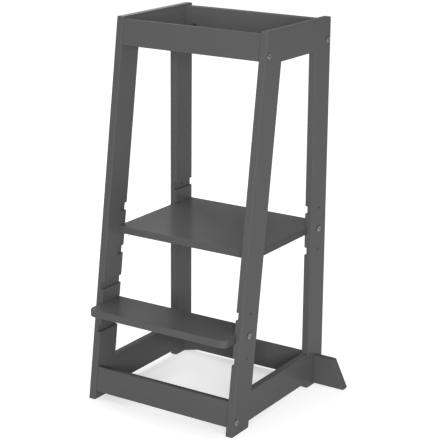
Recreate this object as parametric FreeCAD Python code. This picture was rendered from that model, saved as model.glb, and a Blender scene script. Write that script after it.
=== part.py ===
import FreeCAD, Part

import math
import os

from FreeCAD import Vector

# Kitchen helper stool for a toddler: two planar side frames of painted board, tied by cross rails,
# with a platform and a lower step that sit in grooves of the posts at one of three heights each.
# Millimetres. X is across the stool, -Y is the climbing side, +Z is up.
# The origin is on the floor, at the middle of the whole outline.

# ---- overall ----
height = 900.0
width = 404.0                 # over the outer faces of the two side frames
base_depth = 412.0            # front foot to rear face, on the floor
top_depth = 283.0             # front corner to rear face, at the top

# ---- frame boards ----
frame_board = 18.0            # thickness of posts and rails
post_width = 70.0             # square to the post's own length
top_rail_width = 73.5         # side rails at the top
low_rail_width = 71.5         # side rails near the floor
low_rail_clear = 15.0         # floor to the underside of the low side rails
edge_round = 2.0              # eased long edges of frame boards
corner_round = 3.0            # outer corners of a side frame, seen from the side

# ---- cross rails between the side frames ----
cross_width = 61.0            # along the face of the rail
front_setback = 3.0           # rail face behind the front edge of the front posts
rear_setback = 7.0            # rail face in front of the rear face of the rear posts
cross_drop = 5.0              # top of the upper cross rails below the top of the stool
front_low_clear = 19.0        # floor to the lower edge of the front low rail

# ---- board across the back whose ends reach out as feet ----
tip_height = 72.0
tip_board = 18.0
tip_front = 35.0              # front face of the board behind the front edge of the rear posts
foot_reach_floor = 84.0       # how far a foot stands out from the side frame, at the floor
foot_reach_top = 49.5         # the same at the top edge
tip_relief = 10.0             # raised underside between the posts
tip_slope = 40.0              # length of the slope from the sole to the raised underside
tip_slope_round = 25.0
tip_corner_round = 4.0
tip_clear = 0.3               # gap between this board and its slots

# ---- platform and step ----
shelf_board = 18.0            # thickness of platform and step
shelf_round = 2.5             # eased edges of platform and step
groove_depth = 6.4
groove_play = 0.6             # groove height over board thickness
groove_end_gap = 0.4          # between the groove's floor and the board's end
platform_height = 397.0       # middle of the groove in use
platform_setback = 48.0       # front edge behind the front edge of the front posts, at its height
platform_pitch = 51.0         # between its three grooves
platform_end_gap = 1.0        # between the platform's front edge and the stop of its groove
step_height = 223.0
step_nosing = 45.0            # step in front of the front posts, at its height
step_corner = 16.0            # rounded front corners, seen from above
step_pitch = 51.0

# ---- connector bolts, barrel nuts, dowels and screws ----
bolt_d = 6.0
bolt_head_d = 15.0
bolt_head = 2.6
bolt_head_round = 2.0         # low dome towards the rim
hex_key = 4.0
hex_depth = 1.9
bolt_hole_d = 6.8
bolt_tip = 1.0                # bevel on the end of a bolt
bolt_root = 0.6               # shank carried on into the head, short of the hexagon
bolt_end_gap = 1.0            # hole in a board's end deeper than its bolt
thread_gap = 0.05             # between a bolt's shank and its barrel nut
rail_bolt_reach = 32.0        # bolt in the end of a rail
rail_nut_in = 23.0            # barrel nut from the end of a rail
rail_bolt_up = 14.0           # bolt above the lower edge of its rail
shelf_bolt_reach = 33.0       # bolt in the end of the platform or step
shelf_nut_in = 25.0
nut_d = 10.0
nut_length = 12.0
nut_hole_gap = 0.1
nut_slot = 1.6
nut_slot_depth = 1.5
nut_recess = 3.0              # nut's slotted end below the face of its board
nut_chamfer = 0.4
nut_end_gap = 0.5             # between a nut and the blind end of its hole
dowel_d = 8.0
dowel_length = 35.0
dowel_gap = 0.05
dowel_end_gap = 1.0
dowel_chamfer = 1.0
dowel_cover = 5.0             # wood left outside a cross rail's dowel in its post
dowel_spacing = 36.0          # two dowels of a side rail joint
rail_dowel_down = 15.0        # dowel below the upper edge of its cross rail
screw_d = 5.0
screw_length = 40.0
screw_head_d = 9.5
screw_head = 3.6
screw_socket = 3.0            # hexagon in the screw head
screw_socket_depth = 2.4
screw_gap = 0.05
screw_sunk = 0.5              # screw head below the rear edge of its post
screw_point = 1.2             # bevel on the end of a screw
screw_low = 22.0              # lower screw of the back board above the floor
screw_spacing = 30.0
past = 10.0                   # how far cutting shapes reach past a face

# ---- worked out ----
lean = (base_depth - top_depth) / height
lean_angle = math.atan(lean)
front_post_y = post_width / math.cos(lean_angle)      # front post measured level
half_width = width / 2.0
inner_x = half_width - frame_board
nosing_y = lean * step_height - step_nosing           # step's front edge behind the front foot
overall_depth = base_depth - min(0.0, nosing_y)
rear_y = overall_depth / 2.0
foot_y = rear_y - base_depth
rear_post_front = rear_y - post_width
groove_height = shelf_board + groove_play
shelf_half = inner_x + groove_depth - groove_end_gap
slot_front = rear_post_front + tip_front - tip_clear
slot_depth = tip_board + 2.0 * tip_clear
shelf_sides = {"left": -1, "right": 1}


def front_line(z):
    """Y of the front edge of the front posts at height z."""
    return foot_y + lean * z


def post_back_line(z):
    """Y of the rear edge of the front posts at height z."""
    return front_line(z) + front_post_y


def box(x0, x1, y0, y1, z0, z1):
    corner = Vector(min(x0, x1), min(y0, y1), min(z0, z1))
    return Part.makeBox(abs(x1 - x0), abs(y1 - y0), abs(z1 - z0), corner)


def rod(radius, length, start, direction):
    return Part.makeCylinder(radius, length, start, direction)


def prism(corners, reach):
    """Solid that the flat outline through the corners sweeps along reach."""
    face = Part.Face(Part.makePolygon(corners + corners[:1]))
    return face.extrude(reach)


def side_prism(points, x0, x1):
    """Solid with an outline given as (y, z) points, from x0 to x1."""
    return prism([Vector(x0, y, z) for y, z in points], Vector(x1 - x0, 0, 0))


def front_prism(points, y0, y1):
    """Solid with an outline given as (x, z) points, from y0 to y1."""
    return prism([Vector(x, y0, z) for x, z in points], Vector(0, y1 - y0, 0))


def runs_along(edge, axis):
    direction = edge.Vertexes[1].Point.sub(edge.Vertexes[0].Point)
    direction.normalize()
    return abs(direction.dot(axis)) > 0.999


def edges_along(shape, axis, test):
    """Edges of a shape along the axis whose two ends both pass the test."""
    found = []
    for edge in shape.Edges:
        ends = [vertex.Point for vertex in edge.Vertexes]
        if len(ends) == 2 and all(test(end) for end in ends) and runs_along(edge, axis):
            found.append(edge)
    return found


def round_edges_at(shape, x):
    """Circular edges of a shape in the upright plane across the stool at x."""
    return [edge for edge in shape.Edges
            if isinstance(edge.Curve, Part.Circle) and near(edge.BoundBox.XMin, x)]


def near(a, b):
    return abs(a - b) < 0.01


def mirrored(shape):
    """The left hand copy of a right hand piece."""
    return shape.mirror(Vector(0, 0, 0), Vector(1, 0, 0))


def one_solid(shape):
    solids = shape.removeSplitter().Solids
    if len(solids) != 1:
        raise ValueError("expected one solid, found %d" % len(solids))
    return solids[0]


def group(solids):
    return Part.makeCompound(solids)


# ---- where things are in the side view ----
platform_levels = [platform_height + step * platform_pitch for step in (-1, 0, 1)]
step_levels = [step_height + step * step_pitch for step in (-1, 0, 1)]


def groove_floor_z(level):
    """Lower face of the groove whose middle is at this level."""
    return level - groove_height / 2.0


platform_bottom = groove_floor_z(platform_height)
step_bottom = groove_floor_z(step_height)
platform_front = front_line(platform_height) + platform_setback
step_front = front_line(step_height) - step_nosing
step_rear = post_back_line(step_height)
rear_bolt_y = rear_y - post_width / 2.0
top_rail_z = height - top_rail_width
low_rail_top = low_rail_clear + low_rail_width
upper_cross_top = height - cross_drop


def rail_frame(base_y, base_z, tilt):
    """Origin and directions of a cross rail: up along its width, in across its thickness."""
    up = Vector(0, math.sin(tilt), math.cos(tilt))
    inward = Vector(0, math.cos(tilt), -math.sin(tilt))
    return Vector(0, base_y, base_z), up, inward


front_top_z = upper_cross_top - cross_width * math.cos(lean_angle)
rear_top_z = upper_cross_top - cross_width
front_top_y = front_line(front_top_z) + front_setback
rear_top_y = rear_y - rear_setback - frame_board
front_low_y = front_line(front_low_clear) + front_setback
cross_rails = {
    "front_top_rail": rail_frame(front_top_y, front_top_z, lean_angle),
    "rear_top_rail": rail_frame(rear_top_y, rear_top_z, 0.0),
    "front_bottom_rail": rail_frame(front_low_y, front_low_clear, lean_angle),
}
nut_side = {"front_top_rail": 1, "rear_top_rail": -1, "front_bottom_rail": 1}


def rail_point(name, x, up_by, in_by):
    """Point of a cross rail, by distance from its lower edge and from its front face."""
    base, up, inward = cross_rails[name]
    point = base + up * up_by + inward * in_by
    return Vector(x, point.y, point.z)


# ---- joints of a side frame: rail end, middle height, direction into the post ----
def frame_joints():
    joints = []
    for low, high in ((top_rail_z, height), (low_rail_clear, low_rail_top)):
        middle = (low + high) / 2.0
        for offset in (-dowel_spacing / 2.0, dowel_spacing / 2.0):
            z = middle + offset
            joints.append((post_back_line(z), z))
            joints.append((rear_post_front, z))
    return joints


def frame_dowel(y, z, grow_r, grow_l):
    length = dowel_length + 2.0 * grow_l
    start = Vector(inner_x + frame_board / 2.0, y - length / 2.0, z)
    return rod(dowel_d / 2.0 + grow_r, length, start, Vector(0, 1, 0))


def frame_dowel_holes():
    return [frame_dowel(y, z, dowel_gap, dowel_end_gap) for y, z in frame_joints()]


# ---- one side frame as a whole, then split into its boards ----
def side_frame_blank():
    """Right side frame in one piece with all its eased edges."""
    outline = [(front_line(0.0), 0.0), (front_line(height), height), (rear_y, height), (rear_y, 0.0),
               (rear_post_front, 0.0), (rear_post_front, low_rail_clear),
               (post_back_line(low_rail_clear), low_rail_clear), (post_back_line(0.0), 0.0)]
    window = [(post_back_line(low_rail_top), low_rail_top), (rear_post_front, low_rail_top),
              (rear_post_front, top_rail_z), (post_back_line(top_rail_z), top_rail_z)]
    blank = side_prism(outline, inner_x, half_width)
    blank = blank.cut(side_prism(window, inner_x - past, half_width + past))
    corners = edges_along(blank, Vector(1, 0, 0), lambda end: near(end.z, height))
    blank = blank.makeFillet(corner_round, corners)
    rim = [edge for edge in blank.Edges
           if near(edge.BoundBox.XLength, 0.0) and not near(edge.BoundBox.ZMax, 0.0)]
    return blank.makeFillet(edge_round, rim)


def front_post_zone():
    low, high = -past, height + past
    points = [(front_line(low) - past, low), (front_line(high) - past, high),
              (post_back_line(high), high), (post_back_line(low), low)]
    return side_prism(points, inner_x - past, half_width + past)


def rear_post_zone():
    return box(inner_x - past, half_width + past, rear_post_front, rear_y + past, -past, height + past)


def shelf_groove(level, y0, y1):
    low = groove_floor_z(level)
    return box(inner_x - past, inner_x + groove_depth, y0, y1, low, low + groove_height)


def bolt_hole(y, z):
    start = Vector(inner_x - past, y, z)
    return rod(bolt_hole_d / 2.0, frame_board + 2.0 * past, start, Vector(1, 0, 0))


def step_bolt_y(level):
    return front_line(level) + front_post_y / 2.0


def cross_rail_holes(names):
    """Holes through a post for rail bolts, and blind holes for rail dowels."""
    holes = []
    for name in names:
        bolt = rail_point(name, 0.0, rail_bolt_up, frame_board / 2.0)
        holes.append(bolt_hole(bolt.y, bolt.z))
        holes.append(rail_dowel(name, 1, dowel_gap, dowel_end_gap))
    return holes


def front_post(blank):
    post = blank.common(front_post_zone())
    cuts = frame_dowel_holes() + cross_rail_holes(["front_top_rail", "front_bottom_rail"])
    for level in platform_levels:
        stop = front_line(level) + platform_setback - platform_end_gap
        cuts.append(shelf_groove(level, stop, post_back_line(level) + past))
    for level in step_levels:
        cuts.append(shelf_groove(level, front_line(level) - past, post_back_line(level) + past))
        cuts.append(bolt_hole(step_bolt_y(level), level))
    return one_solid(post.cut(cuts))


def back_board_slot():
    return box(inner_x - past, half_width + past, slot_front, slot_front + slot_depth,
               -past, tip_height + tip_clear)


def rear_post(blank):
    post = blank.common(rear_post_zone())
    cuts = frame_dowel_holes() + cross_rail_holes(["rear_top_rail"])
    for level in platform_levels:
        cuts.append(shelf_groove(level, rear_post_front - past, rear_y + past))
        cuts.append(bolt_hole(rear_bolt_y, level))
    cuts.append(back_board_slot())
    cuts += [back_screw_hole(1, z) for z in back_screw_heights()]
    return one_solid(post.cut(cuts))


def side_rail(blank, z0, z1):
    zone = box(inner_x - past, half_width + past, foot_y, rear_y, z0, z1)
    rail = blank.common(zone).cut([front_post_zone(), rear_post_zone()])
    return one_solid(rail.cut(frame_dowel_holes()))


# ---- cross rails ----
def rail_dowel(name, side, grow_r, grow_l):
    """Dowel across the joint between a cross rail and a post."""
    middle = rail_point(name, side * inner_x, cross_width - rail_dowel_down, frame_board / 2.0)
    into_rail = dowel_length - (frame_board - dowel_cover)
    start = middle - Vector(side * (into_rail + grow_l), 0, 0)
    return rod(dowel_d / 2.0 + grow_r, dowel_length + 2.0 * grow_l, start, Vector(side, 0, 0))


def nut_hole(centre, direction, depth_behind, mouth):
    """Blind hole for a barrel nut, from beyond the board's face to below the nut."""
    start = centre - direction * depth_behind
    return rod(nut_d / 2.0 + nut_hole_gap, depth_behind + mouth, start, direction)


def barrel_nut(centre, outward, along, bolt_off):
    """Cross nut with its slotted end towards the face of its board; centre is on the bolt's axis."""
    base = centre - outward * (nut_length - bolt_off)
    nut = rod(nut_d / 2.0, nut_length, base, outward)
    nut = chamfered(nut, nut_chamfer)
    slot = box(-nut_slot / 2.0, nut_slot / 2.0, -nut_d, nut_d, -nut_slot_depth, past)
    turn = FreeCAD.Rotation(along.cross(outward), along, outward, "ZXY")
    slot.Placement = FreeCAD.Placement(base + outward * nut_length, turn)
    bore = rod(bolt_d / 2.0 + thread_gap, 2.0 * nut_d, centre - along * nut_d, along)
    return one_solid(nut.cut([slot, bore]))


def cross_rail(name):
    base, up, inward = cross_rails[name]
    section = [base, base + up * cross_width, base + up * cross_width + inward * frame_board,
               base + inward * frame_board]
    rail = side_prism([(point.y, point.z) for point in section], -inner_x, inner_x)
    along = [edge for edge in rail.Edges if runs_along(edge, Vector(1, 0, 0))]
    rail = rail.makeFillet(edge_round, along)
    outward = inward * nut_side[name]
    cuts = []
    for side in (-1, 1):
        bottom = rail_point(name, side * (inner_x - rail_bolt_reach - bolt_end_gap), rail_bolt_up,
                            frame_board / 2.0)
        cuts.append(rod(bolt_hole_d / 2.0, rail_bolt_reach + past, bottom, Vector(side, 0, 0)))
        centre = rail_point(name, side * (inner_x - rail_nut_in), rail_bolt_up, frame_board / 2.0)
        behind = nut_length - rail_nut_off() + nut_end_gap
        cuts.append(nut_hole(centre, outward, behind, frame_board))
        cuts.append(rail_dowel(name, side, dowel_gap, dowel_end_gap))
    return one_solid(rail.cut(cuts))


def rail_nut_off():
    """From a rail bolt's axis to the slotted end of its nut."""
    return frame_board / 2.0 - nut_recess


def rail_nuts(name):
    base, up, inward = cross_rails[name]
    outward = inward * nut_side[name]
    nuts = []
    for side in (-1, 1):
        centre = rail_point(name, side * (inner_x - rail_nut_in), rail_bolt_up, frame_board / 2.0)
        nuts.append(barrel_nut(centre, outward, Vector(side, 0, 0), rail_nut_off()))
    return group(nuts)


def rail_dowels(name):
    dowels = [rail_dowel(name, side, 0.0, 0.0) for side in (-1, 1)]
    return group([chamfered(dowel, dowel_chamfer) for dowel in dowels])


def chamfered(cylinder, size):
    rims = [edge for edge in cylinder.Edges if isinstance(edge.Curve, Part.Circle)]
    return cylinder.makeChamfer(size, rims)


def connector_bolt(side, y, z, shank):
    """Flat head bolt with a hexagon socket, head against the outer face of a post."""
    out = Vector(side, 0, 0)
    seat = Vector(side * half_width, y, z)
    head = rod(bolt_head_d / 2.0, bolt_head, seat, out)
    head = head.makeFillet(bolt_head_round, round_edges_at(head, seat.x + side * bolt_head))
    body = rod(bolt_d / 2.0, shank + bolt_root, seat - out * shank, out)
    body = body.makeChamfer(bolt_tip, round_edges_at(body, seat.x - side * shank))
    socket = hexagon(seat + out * (bolt_head - hex_depth), out, hex_key, past)
    return one_solid(head.fuse(body).cut(socket))


def hexagon(start, direction, across_flats, depth):
    """Six sided prism that stands on start along a level direction."""
    radius = across_flats / math.sqrt(3.0)
    side_a = Vector(0, 0, 1)
    side_b = direction.cross(side_a)
    corners = []
    for corner in range(6):
        angle = math.radians(60.0 * corner)
        corners.append(start + side_a * (radius * math.cos(angle)) + side_b * (radius * math.sin(angle)))
    return prism(corners, direction * depth)


def rail_bolts(name):
    spot = rail_point(name, 0.0, rail_bolt_up, frame_board / 2.0)
    shank = frame_board + rail_bolt_reach
    return group([connector_bolt(side, spot.y, spot.z, shank) for side in (-1, 1)])


# ---- board across the back ----
def back_board():
    reach = half_width + foot_reach_floor
    reach_top = half_width + foot_reach_top
    slope_end = inner_x - tip_slope
    half = [(reach, 0.0), (reach_top, tip_height)]
    outline = half + [(-x, z) for x, z in reversed(half)]
    outline += [(-inner_x, 0.0), (-slope_end, tip_relief), (slope_end, tip_relief), (inner_x, 0.0)]
    y0 = slot_front + tip_clear
    board = front_prism(outline, y0, y0 + tip_board)
    through = Vector(0, 1, 0)
    bends = edges_along(board, through, lambda end: near(end.z, tip_relief))
    board = board.makeFillet(tip_slope_round, bends)
    outer = edges_along(board, through, lambda end: abs(end.x) > half_width)
    board = board.makeFillet(tip_corner_round, outer)
    rim = [edge for edge in board.Edges if near(edge.BoundBox.YLength, 0.0)]
    board = board.makeFillet(edge_round, rim)
    holes = [back_screw_hole(side, z) for side in (-1, 1) for z in back_screw_heights()]
    return one_solid(board.cut(holes))


def back_screw_heights():
    return [screw_low, screw_low + screw_spacing]


def back_screw_x():
    return inner_x + frame_board / 2.0


def back_screw(side, z, grow):
    """Countersunk screw from the rear edge of a post, forward into the board across the back."""
    x = side * back_screw_x()
    forward = Vector(0, -1, 0)
    face = Vector(x, rear_y - screw_sunk, z)
    shank = rod(screw_d / 2.0 + grow, screw_length, face, forward)
    cone = Part.makeCone(screw_head_d / 2.0 + grow, screw_d / 2.0 + grow, screw_head, face, forward)
    return shank.fuse(cone)


def back_screw_hole(side, z):
    x = side * back_screw_x()
    mouth = rod(screw_head_d / 2.0 + screw_gap, past, Vector(x, rear_y - screw_sunk, z), Vector(0, 1, 0))
    return back_screw(side, z, screw_gap).fuse(mouth)


def back_screws():
    screws = []
    for side in (-1, 1):
        for z in back_screw_heights():
            bottom = Vector(side * back_screw_x(), rear_y - screw_sunk - screw_socket_depth, z)
            socket = hexagon(bottom, Vector(0, 1, 0), screw_socket, past)
            body = chamfered_tip(back_screw(side, z, 0.0))
            screws.append(one_solid(body.cut(socket)))
    return group(screws)


def chamfered_tip(screw):
    low = screw.BoundBox.YMin
    tip = [edge for edge in screw.Edges
           if isinstance(edge.Curve, Part.Circle) and near(edge.BoundBox.YMin, low)]
    return screw.makeChamfer(screw_point, tip)


# ---- platform and step ----
def shelf(y0, y1, z0, bolt_y, corner):
    """Board on edge-to-edge grooves, with barrel nuts let in from below."""
    board = box(-shelf_half, shelf_half, y0, y1, z0, z0 + shelf_board)
    if corner > 0.0:
        upright = edges_along(board, Vector(0, 0, 1), lambda end: near(end.y, y0))
        board = board.makeFillet(corner, upright)
    rim = [edge for edge in board.Edges if near(edge.BoundBox.ZLength, 0.0)]
    board = board.makeFillet(shelf_round, rim)
    middle = shelf_bolt_z(z0)
    cuts = []
    for side in (-1, 1):
        start = Vector(side * (shelf_half - shelf_bolt_reach - bolt_end_gap), bolt_y, middle)
        cuts.append(rod(bolt_hole_d / 2.0, shelf_bolt_reach + past, start, Vector(side, 0, 0)))
        centre = Vector(side * (shelf_half - shelf_nut_in), bolt_y, middle)
        behind = nut_length - shelf_nut_off() + nut_end_gap
        cuts.append(nut_hole(centre, Vector(0, 0, -1), behind, shelf_board))
    return one_solid(board.cut(cuts))


def shelf_bolt_z(z0):
    """Height of the bolts of a platform or step: the middle of its groove."""
    return z0 + groove_height / 2.0


def shelf_nut_off():
    """From a shelf bolt's axis to the slotted end of its nut, below it."""
    return groove_height / 2.0 - nut_recess


def shelf_nuts(z0, bolt_y):
    nuts = []
    for side in (-1, 1):
        centre = Vector(side * (shelf_half - shelf_nut_in), bolt_y, shelf_bolt_z(z0))
        nuts.append(barrel_nut(centre, Vector(0, 0, -1), Vector(side, 0, 0), shelf_nut_off()))
    return group(nuts)


def shelf_bolt(side, z0, bolt_y):
    shank = half_width - shelf_half + shelf_bolt_reach
    return connector_bolt(side, bolt_y, shelf_bolt_z(z0), shank)


# ---- the whole stool ----
def stool():
    pieces = {}
    blank = side_frame_blank()
    frame = {
        "front_post": front_post(blank),
        "rear_post": rear_post(blank),
        "side_top_rail": side_rail(blank, top_rail_z, height),
        "side_bottom_rail": side_rail(blank, low_rail_clear, low_rail_top),
        "side_frame_dowels": group([chamfered(frame_dowel(y, z, 0.0, 0.0), dowel_chamfer)
                                    for y, z in frame_joints()]),
    }
    for name, shape in frame.items():
        pieces[name + "_right"] = shape
        pieces[name + "_left"] = mirrored(shape)
    for name in cross_rails:
        pieces[name] = cross_rail(name)
        pieces[name + "_bolts"] = rail_bolts(name)
        pieces[name + "_nuts"] = rail_nuts(name)
        pieces[name + "_dowels"] = rail_dowels(name)
    pieces["anti_tip_board"] = back_board()
    pieces["anti_tip_screws"] = back_screws()
    shelves = {
        "platform": (platform_front, rear_y, platform_bottom, rear_bolt_y, 0.0),
        "step": (step_front, step_rear, step_bottom, step_bolt_y(step_height), step_corner),
    }
    for name, (y0, y1, z0, bolt_y, corner) in shelves.items():
        pieces[name] = shelf(y0, y1, z0, bolt_y, corner)
        pieces[name + "_nuts"] = shelf_nuts(z0, bolt_y)
        for side_name, side in shelf_sides.items():
            pieces[name + "_bolt_" + side_name] = shelf_bolt(side, z0, bolt_y)
    return pieces


os.makedirs("parts", exist_ok=True)
for piece_name, piece_shape in stool().items():
    if not piece_shape.isValid():
        raise ValueError("invalid shape: " + piece_name)
    piece_shape.exportStep("parts/" + piece_name + ".step")
    print(piece_name, len(piece_shape.Solids), round(piece_shape.Volume / 1000.0, 2), "cm3")
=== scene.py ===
import math

import bpy
import numpy as np
from mathutils import Euler, Matrix, Vector


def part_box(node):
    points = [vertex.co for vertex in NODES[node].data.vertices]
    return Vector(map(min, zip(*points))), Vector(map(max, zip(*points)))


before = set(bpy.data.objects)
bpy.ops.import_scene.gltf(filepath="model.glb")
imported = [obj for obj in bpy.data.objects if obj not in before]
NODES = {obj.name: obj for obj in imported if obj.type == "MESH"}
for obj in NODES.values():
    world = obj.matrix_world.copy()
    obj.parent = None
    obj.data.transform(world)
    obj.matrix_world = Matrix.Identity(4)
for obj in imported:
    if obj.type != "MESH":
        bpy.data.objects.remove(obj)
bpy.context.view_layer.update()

# ---- the stool's own measures, in metres ----
STOOL_HEIGHT = 0.900
FRONT_SPREAD = 0.129                      # front posts further forward at the floor than at the top
POST_LEAN = math.atan(FRONT_SPREAD / STOOL_HEIGHT)
SHELF_EASE = 0.0025                       # round on the edges of platform and step

# ---- camera: fitted to the photograph's edges, in pixels of its 440 x 440 frame, metres and degrees
PHOTO_SIZE = 440.0
FOCAL_PX = 1445.7
PRINCIPAL_X = 219.84
PRINCIPAL_Y = 190.0
CAMERA_PLACE = (1.7841, -2.7205, 1.4004)
CAMERA_AZIMUTH = 32.714
CAMERA_ELEVATION = 15.455
CAMERA_ROLL = 0.449
SENSOR_WIDTH = 36.0
CAMERA_REACH = 50.0                       # metres, past the far edge of the floor

# ---- grey satin paint ----
PAINT_GREY = (0.112, 0.112, 0.112)
PAINT_SHEEN = 0.05                        # specular level
PAINT_TONE = (0.994, 1.006)               # darkest and lightest touch of grain and coat
PAINT_ROUGH = (0.25, 0.27)
END_SHADE_TONE = 0.78                     # shelf ends painted darker: painted shade on those faces, and end grain that drinks the paint and dries darker
END_GRAIN_ROUGH = 0.2                     # added to the paint's own

# ---- steel and bare wood ----
STEEL_NICKEL = (0.23, 0.23, 0.23)
STEEL_ZINC = (0.20, 0.20, 0.21)
NICKEL_ROUGH = (0.30, 0.38)
ZINC_ROUGH = (0.28, 0.42)
STEEL_TONE = (0.90, 1.0)
BEECH = (0.50, 0.33, 0.18)
BEECH_TONE = (0.82, 1.1)
BEECH_ROUGH = (0.55, 0.7)

# ---- patterns: noise per metre, along, across and through a board where there are three ----
RING_WANDER = (1.1, 6.0, 6.0)
GRAIN_PORES = (45.0, 1500.0, 1500.0)
GRAIN_PATCHES = (7.0, 24.0, 24.0)
SKIN_STIPPLE = 700.0
SKIN_WAVES = 120.0
SKIN_PATCHES = 14.0
STEEL_SMUDGE = 420.0
RINGS_ACROSS = 620.0                      # year rings, in radians per metre
RINGS_THROUGH = 210.0
RING_BEND = 26.0                          # radians by which the wander bends them
LATHE_RINGS = 21000.0                     # radians per metre, a ring every 0.3 mm
RING_SPAN = (-0.9, 1.0)                   # of the sine, from the dark line to the pale wood
GRAIN_SPAN = (0.2, 0.8)                   # the part of a noise's 0 to 1 that is used
PATCH_SPAN = (0.3, 0.7)
SMUDGE_SPAN = (0.25, 0.75)
GRAIN_STEP = (0.31, 0.17, 0.23)           # metres from one board's cut of grain to the next

# ---- bumps: distance in metres, and strength ----
GRAIN_BUMP = (0.00002, 0.08)
SKIN_BUMP = (0.00003, 0.15)
LATHE_BUMP = (0.00001, 0.35)
BEECH_BUMP = (0.00008, 0.6)

# ---- studio: a strength of 1 is white ----
WHITE = (1.0, 1.0, 1.0, 1.0)
FLOOR_WIDTH = 12.0
FLOOR_WHITE = (0.90, 0.90, 0.90, 1.0)
FLOOR_GLOW = (0.50, 0.90)                 # by the stool, and far off where only the fill reaches
FLOOR_LIT = (0.8, 4.0)                    # metres over which the lamps' light dies away
FILL = 0.12                               # even light on matt surfaces
WALL_PALE_SIDE = (-0.84, -0.54, 0.0)      # level and square to the camera's heading
WALL_SPREAD = 0.35                        # cosine of the direction at which the wall is at its palest
WALL_GLOSS = (0.14, 0.36)                 # what gloss sees on the dim side and on the pale side
LAMP_AIM = (0.0, 0.0, STOOL_HEIGHT / 2.0)

# place, side in metres, watts, and whether gloss mirrors it
LAMPS = {
    "behind_the_camera": ((2.75, -4.18, 1.70), 1.35, 166.0, False),
    "right_side": ((3.2, -1.2, 2.0), 2.2, 18.0, True),
    "overhead": ((0.0, 0.0, 3.2), 2.2, 32.0, True),
    "high_rear_left": ((-3.0, 1.6, 3.4), 2.0, 40.0, True),
    "rear_left": ((-1.5, 1.3, 1.7), 1.2, 7.0, True),
}

# ---- which way each board's grain runs: the turn that lays a pattern's X along the board ----
ALONG_X = (0.0, 0.0, 0.0)
ALONG_Y = (0.0, 0.0, math.radians(90.0))
ALONG_Z = (0.0, math.radians(-90.0), 0.0)
ALONG_LEAN = (POST_LEAN, math.radians(-90.0), 0.0)

BOARDS = {
    "front_post_left": ALONG_LEAN,
    "front_post_right": ALONG_LEAN,
    "rear_post_left": ALONG_Z,
    "rear_post_right": ALONG_Z,
    "side_top_rail_left": ALONG_Y,
    "side_top_rail_right": ALONG_Y,
    "side_bottom_rail_left": ALONG_Y,
    "side_bottom_rail_right": ALONG_Y,
    "front_top_rail": ALONG_X,
    "rear_top_rail": ALONG_X,
    "front_bottom_rail": ALONG_X,
    "anti_tip_board": ALONG_X,
    "platform": ALONG_X,
    "step": ALONG_X,
}
SHELVES = ("platform", "step")


# ======================================================================== node helpers

def new_group(name, outputs):
    """A shader node group that takes a vector: the tree, that vector and the output node."""
    tree = bpy.data.node_groups.new(name, "ShaderNodeTree")
    tree.interface.new_socket("Vector", in_out="INPUT", socket_type="NodeSocketVector")
    for label in outputs:
        tree.interface.new_socket(label, in_out="OUTPUT", socket_type="NodeSocketFloat")
    entry = tree.nodes.new("NodeGroupInput")
    return tree, entry.outputs["Vector"], tree.nodes.new("NodeGroupOutput")


def add(tree, kind, **settings):
    node = tree.nodes.new(kind)
    for key, value in settings.items():
        setattr(node, key, value)
    return node


def feed(tree, node, socket, source):
    """Links a socket, or sets a plain value on it."""
    if isinstance(source, bpy.types.NodeSocket):
        tree.links.new(source, node.inputs[socket])
    else:
        node.inputs[socket].default_value = source


def maths(tree, operation, first, second=0.0, third=None):
    node = add(tree, "ShaderNodeMath", operation=operation)
    feed(tree, node, 0, first)
    feed(tree, node, 1, second)
    if third is not None:
        feed(tree, node, 2, third)
    return node.outputs[0]


def weighted_sum(tree, *shares):
    """The sum of each value times its share."""
    total = 0.0
    for value, share in shares:
        total = maths(tree, "MULTIPLY_ADD", value, share, total)
    return total


def ramp(tree, value, span, result=(0.0, 1.0), kind="SMOOTHSTEP"):
    """Runs from the first result to the second while value crosses span, and stays level outside."""
    node = add(tree, "ShaderNodeMapRange", interpolation_type=kind)
    feed(tree, node, "Value", value)
    feed(tree, node, "From Min", span[0])
    feed(tree, node, "From Max", span[1])
    feed(tree, node, "To Min", result[0])
    feed(tree, node, "To Max", result[1])
    return node.outputs["Result"]


def noise(tree, vector, scale, detail=2.0, roughness=0.5):
    node = add(tree, "ShaderNodeTexNoise")
    feed(tree, node, "Vector", vector)
    feed(tree, node, "Scale", scale)
    feed(tree, node, "Detail", detail)
    feed(tree, node, "Roughness", roughness)
    return node.outputs["Fac"]


def stretched(tree, vector, scale):
    """The vector with each part multiplied by its own scale."""
    node = add(tree, "ShaderNodeVectorMath", operation="MULTIPLY")
    feed(tree, node, 0, vector)
    feed(tree, node, 1, scale)
    return node.outputs["Vector"]


def length_of(tree, vector):
    node = add(tree, "ShaderNodeVectorMath", operation="LENGTH")
    feed(tree, node, 0, vector)
    return node.outputs["Value"]


def parts_of(tree, vector):
    node = add(tree, "ShaderNodeSeparateXYZ")
    feed(tree, node, 0, vector)
    return node.outputs


def shaded(tree, colour, tone):
    """The colour, darker or lighter by tone."""
    node = add(tree, "ShaderNodeVectorMath", operation="SCALE")
    feed(tree, node, 0, colour)
    feed(tree, node, "Scale", tone)
    return node.outputs["Vector"]


def bumped(tree, height, bump, under=None):
    """A normal tilted by height, over the normal of a coarser bump where one is given."""
    node = add(tree, "ShaderNodeBump")
    feed(tree, node, "Height", height)
    feed(tree, node, "Distance", bump[0])
    feed(tree, node, "Strength", bump[1])
    if under is not None:
        feed(tree, node, "Normal", under)
    return node.outputs["Normal"]


# ======================================================================== shared effects

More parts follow.
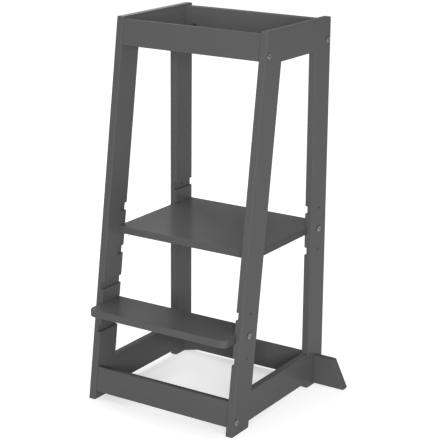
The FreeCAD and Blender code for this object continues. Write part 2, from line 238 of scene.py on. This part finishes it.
def grain_under_paint():
    """Wood grain, for a vector in metres with X along the board.

    The rings are a sine of the place across and through the board, bent by a slow wander. Height is
    the rings with fine long pores over them, and tone adds broad patches to both.
    """
    tree, place, result = new_group("grain_under_paint", ("Height", "Tone"))
    wander = noise(tree, stretched(tree, place, RING_WANDER), 1.0)
    board = parts_of(tree, place)
    bend = maths(tree, "MULTIPLY", wander, RING_BEND)
    ring_at = maths(tree, "MULTIPLY_ADD", board["Y"], RINGS_ACROSS, bend)
    ring_at = maths(tree, "MULTIPLY_ADD", board["Z"], RINGS_THROUGH, ring_at)
    rings = ramp(tree, maths(tree, "SINE", ring_at), RING_SPAN)
    pores = noise(tree, stretched(tree, place, GRAIN_PORES), 1.0, roughness=0.6)
    patches = noise(tree, stretched(tree, place, GRAIN_PATCHES), 1.0)
    height = weighted_sum(tree, (pores, 0.4), (rings, 0.6))
    tone = weighted_sum(tree, (rings, 0.25), (patches, 0.6), (pores, 0.15))
    feed(tree, result, "Height", height)
    feed(tree, result, "Tone", tone)
    return tree


def sprayed_skin():
    """A sprayed coat: its height is fine stipple on slower waves, and patches vary its gloss."""
    tree, place, result = new_group("sprayed_skin", ("Height", "Patches"))
    stipple = noise(tree, place, SKIN_STIPPLE)
    waves = noise(tree, place, SKIN_WAVES, detail=1.0)
    patches = noise(tree, place, SKIN_PATCHES, detail=3.0, roughness=0.55)
    feed(tree, result, "Height", weighted_sum(tree, (waves, 0.45), (stipple, 0.55)))
    feed(tree, result, "Patches", patches)
    return tree


GRAIN = grain_under_paint()
SKIN = sprayed_skin()


# ======================================================================== materials

def new_material(name):
    material = bpy.data.materials.new(name)
    material.use_nodes = True
    tree = material.node_tree
    tree.nodes.clear()
    shader = add(tree, "ShaderNodeBsdfPrincipled")
    output = add(tree, "ShaderNodeOutputMaterial")
    tree.links.new(shader.outputs["BSDF"], output.inputs["Surface"])
    return material, tree, shader


def placed_vector(tree, place=(0.0, 0.0, 0.0), turn=(0.0, 0.0, 0.0)):
    """Object coordinates, centred on place and turned, so that a pattern follows its board."""
    source = add(tree, "ShaderNodeTexCoord")
    mapping = add(tree, "ShaderNodeMapping", vector_type="TEXTURE")
    feed(tree, mapping, "Vector", source.outputs["Object"])
    feed(tree, mapping, "Location", place)
    feed(tree, mapping, "Rotation", turn)
    return mapping.outputs["Vector"]


def grouped(tree, group, vector):
    node = add(tree, "ShaderNodeGroup", node_tree=group)
    feed(tree, node, "Vector", vector)
    return node.outputs


def shelf_ends(tree, half_length):
    """0 on a shelf's faces, rising to 1 over the eased edge of each end. The shelf is centred on X."""
    source = add(tree, "ShaderNodeTexCoord")
    along = parts_of(tree, source.outputs["Object"])
    outward = maths(tree, "ABSOLUTE", along["X"])
    return ramp(tree, outward, (half_length - SHELF_EASE, half_length))


def painted_board(name, place, turn, shelf_half=None):
    """Grey satin paint on a solid wood board. turn lays the pattern's X along the board."""
    material, tree, shader = new_material(name)
    vector = placed_vector(tree, place, turn)
    grain = grouped(tree, GRAIN, vector)
    skin = grouped(tree, SKIN, vector)

    tone = ramp(tree, grain["Tone"], GRAIN_SPAN, PAINT_TONE)
    tone = maths(tree, "MULTIPLY", tone, ramp(tree, skin["Patches"], PATCH_SPAN, PAINT_TONE))
    rough = ramp(tree, skin["Patches"], PATCH_SPAN, PAINT_ROUGH)
    # The shelf ends are painted darker: painted shade on those faces, together with end grain drying
    # darker.
    if shelf_half is not None:
        end = shelf_ends(tree, shelf_half)
        end_shade = ramp(tree, end, (0.0, 1.0), (1.0, END_SHADE_TONE), kind="LINEAR")
        tone = maths(tree, "MULTIPLY", tone, end_shade)
        rough = maths(tree, "MULTIPLY_ADD", end, END_GRAIN_ROUGH, rough)
    feed(tree, shader, "Base Color", shaded(tree, PAINT_GREY, tone))
    feed(tree, shader, "Roughness", rough)
    feed(tree, shader, "Specular IOR Level", PAINT_SHEEN)
    coarse = bumped(tree, grain["Height"], GRAIN_BUMP)
    feed(tree, shader, "Normal", bumped(tree, skin["Height"], SKIN_BUMP, coarse))
    return material


def turned_steel(name, colour, rough, centre):
    """Plated steel with fine lathe rings, a sine of the distance from an axis along X."""
    material, tree, shader = new_material(name)
    vector = placed_vector(tree, centre)
    off_axis = stretched(tree, vector, (0.0, 1.0, 1.0))
    rings = maths(tree, "SINE", maths(tree, "MULTIPLY", length_of(tree, off_axis), LATHE_RINGS))
    smudge = noise(tree, vector, STEEL_SMUDGE, detail=3.0, roughness=0.6)
    tone = ramp(tree, smudge, SMUDGE_SPAN, STEEL_TONE)
    feed(tree, shader, "Base Color", shaded(tree, colour, tone))
    feed(tree, shader, "Metallic", 1.0)
    feed(tree, shader, "Roughness", ramp(tree, smudge, PATCH_SPAN, rough))
    feed(tree, shader, "Normal", bumped(tree, rings, LATHE_BUMP))
    return material


def bare_beech(name):
    """Unpainted beech dowels, which all lie hidden in their holes."""
    material, tree, shader = new_material(name)
    grain = grouped(tree, GRAIN, placed_vector(tree))
    tone = ramp(tree, grain["Tone"], GRAIN_SPAN, BEECH_TONE)
    feed(tree, shader, "Base Color", shaded(tree, BEECH, tone))
    feed(tree, shader, "Roughness", ramp(tree, grain["Height"], (0.0, 1.0), BEECH_ROUGH))
    feed(tree, shader, "Normal", bumped(tree, grain["Height"], BEECH_BUMP))
    return material


def dress(node, material):
    """Gives a CAD node its material in every slot."""
    mesh = NODES[node].data
    if not mesh.materials:
        mesh.materials.append(material)
    for index in range(len(mesh.materials)):
        mesh.materials[index] = material


def box_middle(node):
    low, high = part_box(node)
    return (low + high) / 2.0


def dress_stool():
    """Each board gets its own cut of grain, and each bolt rings about its own axis."""
    for number, (node, turn) in enumerate(BOARDS.items()):
        away = Vector(GRAIN_STEP) * number
        shelf_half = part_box(node)[1][0] if node in SHELVES else None
        paint = painted_board("grey_paint_" + node, box_middle(node) + away, turn, shelf_half)
        dress(node, paint)
    beech = bare_beech("beech_dowel")
    for node in NODES:
        if node in BOARDS:
            continue
        middle = box_middle(node)
        if "dowels" in node:
            dress(node, beech)
        elif "bolt" in node:
            dress(node, turned_steel("nickel_steel_" + node, STEEL_NICKEL, NICKEL_ROUGH, middle))
        else:
            dress(node, turned_steel("zinc_steel_" + node, STEEL_ZINC, ZINC_ROUGH, middle))


# ======================================================================== studio

def floor():
    """Pale floor that camera and gloss see as white, darker only where the stool shades it."""
    mesh = bpy.data.meshes.new("studio_floor")
    half = FLOOR_WIDTH / 2.0
    corners = [(-half, -half, 0.0), (half, -half, 0.0), (half, half, 0.0), (-half, half, 0.0)]
    mesh.from_pydata(corners, [], [(0, 1, 2, 3)])
    plane = bpy.data.objects.new("studio_floor", mesh)
    bpy.context.scene.collection.objects.link(plane)
    material = bpy.data.materials.new("studio_floor")
    material.use_nodes = True
    material.cycles.emission_sampling = "NONE"
    tree = material.node_tree
    tree.nodes.clear()
    matt = add(tree, "ShaderNodeBsdfDiffuse")
    feed(tree, matt, "Color", FLOOR_WHITE)
    glow = add(tree, "ShaderNodeEmission")
    feed(tree, glow, "Color", WHITE)
    spot = add(tree, "ShaderNodeTexCoord")
    away = length_of(tree, spot.outputs["Object"])
    feed(tree, glow, "Strength", ramp(tree, away, FLOOR_LIT, FLOOR_GLOW))
    seen = add(tree, "ShaderNodeAddShader")
    tree.links.new(matt.outputs[0], seen.inputs[0])
    tree.links.new(glow.outputs[0], seen.inputs[1])
    path = add(tree, "ShaderNodeLightPath")
    direct = maths(tree, "MAXIMUM", path.outputs["Is Camera Ray"], path.outputs["Is Glossy Ray"])
    direct = maths(tree, "MAXIMUM", direct, path.outputs["Is Transmission Ray"])
    choose = add(tree, "ShaderNodeMixShader")
    tree.links.new(direct, choose.inputs[0])
    tree.links.new(matt.outputs[0], choose.inputs[1])
    tree.links.new(seen.outputs[0], choose.inputs[2])
    output = add(tree, "ShaderNodeOutputMaterial")
    tree.links.new(choose.outputs[0], output.inputs["Surface"])
    mesh.materials.append(material)


def surroundings():
    """White to the camera, even fill for matt surfaces, and for gloss a wall that pales to the left."""
    world = bpy.data.worlds.new("studio")
    world.use_nodes = True
    world.cycles.sampling_method = "NONE"
    bpy.context.scene.world = world
    tree = world.node_tree
    tree.nodes.clear()
    heading = add(tree, "ShaderNodeTexCoord")
    sideways = add(tree, "ShaderNodeVectorMath", operation="DOT_PRODUCT")
    feed(tree, sideways, 0, heading.outputs["Generated"])
    feed(tree, sideways, 1, WALL_PALE_SIDE)
    wall = ramp(tree, sideways.outputs["Value"], (-WALL_SPREAD, WALL_SPREAD), WALL_GLOSS)
    path = add(tree, "ShaderNodeLightPath")
    over_fill = maths(tree, "SUBTRACT", wall, FILL)
    unseen = maths(tree, "MULTIPLY_ADD", path.outputs["Is Glossy Ray"], over_fill, FILL)
    white = maths(tree, "MAXIMUM", path.outputs["Is Camera Ray"], path.outputs["Is Transmission Ray"])
    to_white = maths(tree, "SUBTRACT", 1.0, unseen)
    strength = maths(tree, "MULTIPLY_ADD", white, to_white, unseen)
    background = add(tree, "ShaderNodeBackground")
    feed(tree, background, "Color", WHITE)
    feed(tree, background, "Strength", strength)
    output = add(tree, "ShaderNodeOutputWorld")
    tree.links.new(background.outputs[0], output.inputs["Surface"])


def softbox(name, place, side, power, mirrored):
    """Square lamp. One that isn't mirrored lights the paint but leaves no glare on it."""
    light = bpy.data.lights.new(name, "AREA")
    light.shape = "SQUARE"
    light.size = side
    light.energy = power
    lamp = bpy.data.objects.new(name, light)
    bpy.context.scene.collection.objects.link(lamp)
    lamp.visible_glossy = mirrored
    lamp.location = place
    lamp.rotation_euler = (Vector(LAMP_AIM) - Vector(place)).to_track_quat("-Z", "Y").to_euler()


def camera():
    """Camera at the photograph's angle, its principal point off the middle by a small shift."""
    data = bpy.data.cameras.new("photo_camera")
    data.sensor_fit = "HORIZONTAL"
    data.sensor_width = SENSOR_WIDTH
    data.lens = FOCAL_PX * SENSOR_WIDTH / PHOTO_SIZE
    data.shift_x = (PHOTO_SIZE / 2.0 - PRINCIPAL_X) / PHOTO_SIZE
    data.shift_y = (PRINCIPAL_Y - PHOTO_SIZE / 2.0) / PHOTO_SIZE
    data.clip_end = CAMERA_REACH
    item = bpy.data.objects.new("photo_camera", data)
    bpy.context.scene.collection.objects.link(item)
    tilt = math.radians(90.0 - CAMERA_ELEVATION)
    level = Euler((tilt, 0.0, math.radians(CAMERA_AZIMUTH)), "XYZ").to_matrix()
    roll = Matrix.Rotation(math.radians(CAMERA_ROLL), 3, "Z")
    item.matrix_world = Matrix.Translation(CAMERA_PLACE) @ (level @ roll).to_4x4()
    bpy.context.scene.camera = item


dress_stool()
floor()
surroundings()
for lamp_name, (lamp_place, lamp_side, lamp_power, lamp_mirrored) in LAMPS.items():
    softbox(lamp_name, lamp_place, lamp_side, lamp_power, lamp_mirrored)
camera()
bpy.context.scene.view_settings.view_transform = "Standard"
